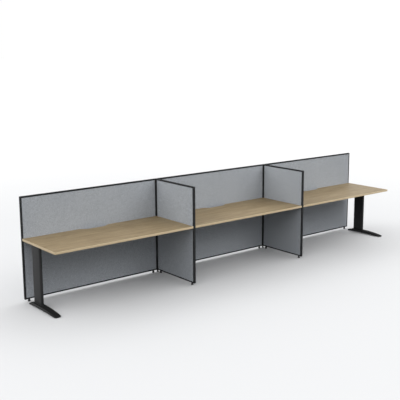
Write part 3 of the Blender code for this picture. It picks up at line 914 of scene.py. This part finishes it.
def screw_head(bm, place, axis):
    """A pan head with a hexagon socket, standing on a surface at place."""
    turn = axis.to_track_quat("Z", "Y")
    angles = [2 * math.pi * i / SCREW_SIDES for i in range(SCREW_SIDES)]
    outlines = []
    for share, height in SCREW_PROFILE:
        outlines.append(([SCREW_RADIUS * share] * SCREW_SIDES, SCREW_RADIUS * height))
    for height in SOCKET_HEIGHTS:
        outlines.append(([socket_reach(angle) for angle in angles], SCREW_RADIUS * height))
    loops = []
    for reaches, height in outlines:
        loop = []
        for angle, reach in zip(angles, reaches):
            point = Vector((reach * math.cos(angle), reach * math.sin(angle), height))
            loop.append(bm.verts.new(place + turn @ point))
        loops.append(loop)
    bridge(bm, loops)
    bm.faces.new(loops[0])
    bm.faces.new(loops[-1])


def make_screws():
    """Screws up through the brackets and leg plates into the worktops, and into the dividers."""
    for bracket in ("left", "middle_left", "middle_right", "right"):
        node = f"worktop_bracket_{bracket}"
        low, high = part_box(node)
        middle = (low.x + high.x) / 2
        # A bracket's web stands against the divider that lies on its left or its right
        side = 1 if middle > math.copysign(JUNCTION_X, middle) else -1
        web = low.x if side > 0 else high.x
        underside = high.z - PLATE_THICKNESS
        bm = bmesh.new()
        for share in BRACKET_SCREWS_UP:
            y = low.y + (high.y - low.y) * share
            screw_head(bm, Vector((middle + side * BRACKET_SCREW_SHIFT, y, underside)), DOWN)
        for share in BRACKET_SCREWS_SIDEWAYS:
            y = low.y + (high.y - low.y) * share
            place = Vector((web + side * PLATE_THICKNESS, y, (low.z + underside) / 2))
            screw_head(bm, place, ALONG_ROW * side)
        add_piece(f"{node}_screws", bm, ZINC)
    for side in SIDES:
        node = f"end_leg_plate_{side}"
        low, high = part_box(node)
        bm = bmesh.new()
        for share in PLATE_SCREWS:
            y = low.y + (high.y - low.y) * share
            for x in (low.x + PLATE_MARGIN, high.x - PLATE_MARGIN):
                screw_head(bm, Vector((x, y, low.z)), DOWN)
        add_piece(f"{node}_screws", bm, ZINC)


def rounded_path(low, high, radius, step):
    """Points round an upright column in plan, about a step apart, with their outward directions."""
    path = []
    corners = ((high.x, high.y, 0), (low.x, high.y, 1), (low.x, low.y, 2), (high.x, low.y, 3))
    middle = (low + high) / 2
    for x, y, quarter in corners:
        inset_x = math.copysign(radius, x - middle.x)
        inset_y = math.copysign(radius, y - middle.y)
        centre = Vector((x - inset_x, y - inset_y))
        count = round(math.pi / 2 * radius / step)
        for i in range(count + 1):
            angle = math.pi / 2 * (quarter + i / count)
            outward = Vector((math.cos(angle), math.sin(angle)))
            path.append((centre + outward * radius, outward))
    filled = []
    for (here, outward), (after, _) in zip(path, path[1:] + path[:1]):
        count = max(round((after - here).length / step), 1)
        filled += [(here.lerp(after, i / count), outward) for i in range(count)]
    return filled


def make_weld_beads():
    """A rippled fillet where each column meets its foot and its plate."""
    for side in SIDES:
        low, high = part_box(f"end_leg_column_{side}")
        path = rounded_path(low, high, COLUMN_CORNER, BEAD_STEP)
        for place, z, rise in (("foot", low.z, 1), ("plate", high.z, -1)):
            bm = bmesh.new()
            rings = []
            for number, (point, outward) in enumerate(path):
                wander = noise.noise(Vector((point.x, point.y, z)) * BEAD_WANDER_PER_METRE)
                swell = 1 + BEAD_SWELL * math.sin(2 * math.pi * number * BEAD_STEP / BEAD_RIPPLE)
                swell += BEAD_WANDER * wander
                ring = []
                for out, up in BEAD_SECTION:
                    spot = point + outward * (out * swell if out > 0 else out)
                    ring.append(bm.verts.new((spot.x, spot.y, z + rise * up * swell)))
                rings.append(ring)
            bridge(bm, rings + rings[:1])
            name = f"end_leg_{side}_{place}_weld"
            add_piece(name, bm, STEEL_COAT, crease=80)


# ---------------------------------------------------------------------------------- studio


def floor_finish():
    """Matt white studio floor that fades into the white backdrop far from the row."""
    m = Finish("studio_floor", Specular_IOR_Level=0.2, Roughness=0.7)
    here = m.add("ShaderNodeVectorMath", operation="LENGTH")
    m.plug(m.place(), here.inputs[0])
    fade = m.span(here.outputs["Value"], 0.0, 1.0, start=FLOOR_FADE_START, end=FLOOR_FADE_END)
    m.feed(Base_Color=m.tint(fade, (*FLOOR_COLOUR, 1.0), BACKDROP_COLOUR))
    return m.material


def add_floor():
    """The floor that the camera sees. It throws no light back onto the row; the dome gives it all."""
    bm = bmesh.new()
    bmesh.ops.create_grid(bm, x_segments=1, y_segments=1, size=FLOOR_REACH)
    mesh = bpy.data.meshes.new("studio_floor")
    bm.to_mesh(mesh)
    bm.free()
    floor = bpy.data.objects.new("studio_floor", mesh)
    bpy.context.collection.objects.link(floor)
    mesh.materials.append(floor_finish())
    floor.visible_diffuse = False
    return floor


def add_sky():
    """A white dome, brightest half-way up and dark below the floor."""
    world = bpy.data.worlds.new("studio")
    world.use_nodes = True
    tree = world.node_tree
    direction = tree.nodes.new("ShaderNodeTexCoord")
    split = tree.nodes.new("ShaderNodeSeparateXYZ")
    rise = tree.nodes.new("ShaderNodeMapRange")
    ramp = tree.nodes.new("ShaderNodeValToRGB")
    rise.inputs["From Min"].default_value = -1.0
    while len(ramp.color_ramp.elements) < len(SKY):
        ramp.color_ramp.elements.new(0.5)
    for element, (elevation, brightness) in zip(ramp.color_ramp.elements, SKY):
        element.position = (math.sin(math.radians(elevation)) + 1) / 2
        element.color = (brightness, brightness, brightness, 1.0)
    tree.links.new(direction.outputs["Generated"], split.inputs[0])
    tree.links.new(split.outputs["Z"], rise.inputs["Value"])
    tree.links.new(rise.outputs["Result"], ramp.inputs["Fac"])
    # A little more light from both ends of the row than from in front of it
    sideways = tree.nodes.new("ShaderNodeMath")
    sideways.operation = "POWER"
    sideways.inputs[1].default_value = 2.0
    strength = tree.nodes.new("ShaderNodeMapRange")
    strength.inputs["To Min"].default_value = SKY_IN_FRONT
    strength.inputs["To Max"].default_value = SKY_AT_ENDS
    tree.links.new(split.outputs["X"], sideways.inputs[0])
    tree.links.new(sideways.outputs[0], strength.inputs["Value"])
    tree.links.new(strength.outputs["Result"], tree.nodes["Background"].inputs["Strength"])
    tree.links.new(ramp.outputs["Color"], tree.nodes["Background"].inputs["Color"])
    bpy.context.scene.world = world
    bpy.context.scene.view_settings.view_transform = "Standard"


def add_key(floor):
    """A large soft lamp in front of the row. It doesn't light the floor, so no shadow falls there."""
    lamp = bpy.data.lights.new("key", "AREA")
    lamp.shape = "DISK"
    lamp.size = KEY_SIZE
    lamp.energy = KEY_POWER
    key = bpy.data.objects.new("key", lamp)
    bpy.context.collection.objects.link(key)
    turn = math.radians(KEY_AZIMUTH)
    rise = math.radians(KEY_ELEVATION)
    level = Vector((-math.sin(turn), -math.cos(turn), 0.0))
    way = level * math.cos(rise) + UP * math.sin(rise)
    key.location = way * KEY_DISTANCE
    key.rotation_euler = way.to_track_quat("Z", "Y").to_euler()
    unlit = bpy.data.collections.new("unlit_by_key")
    unlit.objects.link(floor)
    key.light_linking.receiver_collection = unlit
    for entry in unlit.collection_objects:
        entry.light_linking.link_state = "EXCLUDE"


def add_camera():
    """A camera in front of the row's left end, looking slightly down along it."""
    lens = bpy.data.cameras.new("camera")
    lens.lens = CAMERA_LENS
    lens.shift_x, lens.shift_y = CAMERA_SHIFT
    lens.clip_end = CAMERA_CLIP_END
    camera = bpy.data.objects.new("camera", lens)
    bpy.context.collection.objects.link(camera)
    camera.location = CAMERA_PLACE
    camera.rotation_euler = (math.pi / 2 + CAMERA_PITCH, 0.0, -CAMERA_YAW)
    bpy.context.scene.camera = camera


# -------------------------------------------------------------------------------- assembly

for entry in frame["record"]["subparts"]:
    mesh = frame["nodes"][entry["node"]].data
    mesh.materials.clear()
    mesh.materials.append(SLOT_FINISH[entry["material_slot"]])

make_screen_covers()
for bay in BAYS:
    make_worktop(bay)
make_frames()
make_junction_posts()
make_post_plugs()
make_rail_plugs()
make_glides()
make_screws()
make_weld_beads()

studio_floor = add_floor()
add_sky()
add_key(studio_floor)
add_camera()
